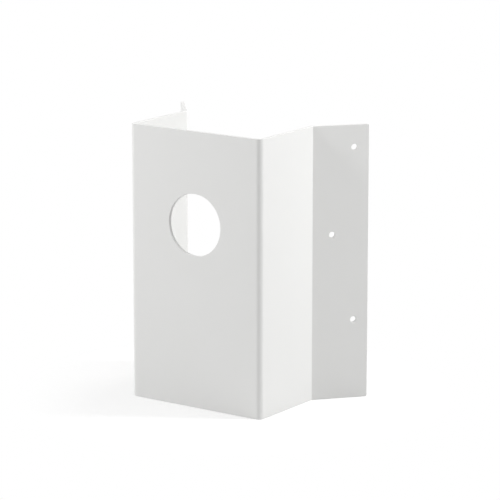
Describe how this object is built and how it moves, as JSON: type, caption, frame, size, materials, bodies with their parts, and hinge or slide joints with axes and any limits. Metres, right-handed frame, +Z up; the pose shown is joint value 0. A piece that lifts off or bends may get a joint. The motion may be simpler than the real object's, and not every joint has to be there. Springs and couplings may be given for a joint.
{
  "type": "corner mount bracket",
  "caption": "Folded steel bracket that holds a camera or sensor on the outer corner of a building: front plate with a cable hole, side walls and angled wings with screw holes.",
  "frame": {"origin": "bottom centre of the bracket's box: it stands on its lower cut edge, in the plane z = 0", "axes": "+Z up, along the folds; -Y is the way the front plate faces, away from the building; the wings spread to +X and -X and open to +Y, towards the building"},
  "size_m": [0.1866, 0.1094, 0.224],
  "materials": {
    "white_powder_coat": "semi-gloss powder coat with a fine orange peel"
  },
  "bodies": {
    "root": {"corner_bracket": "white_powder_coat"}
  },
  "joints": []
}
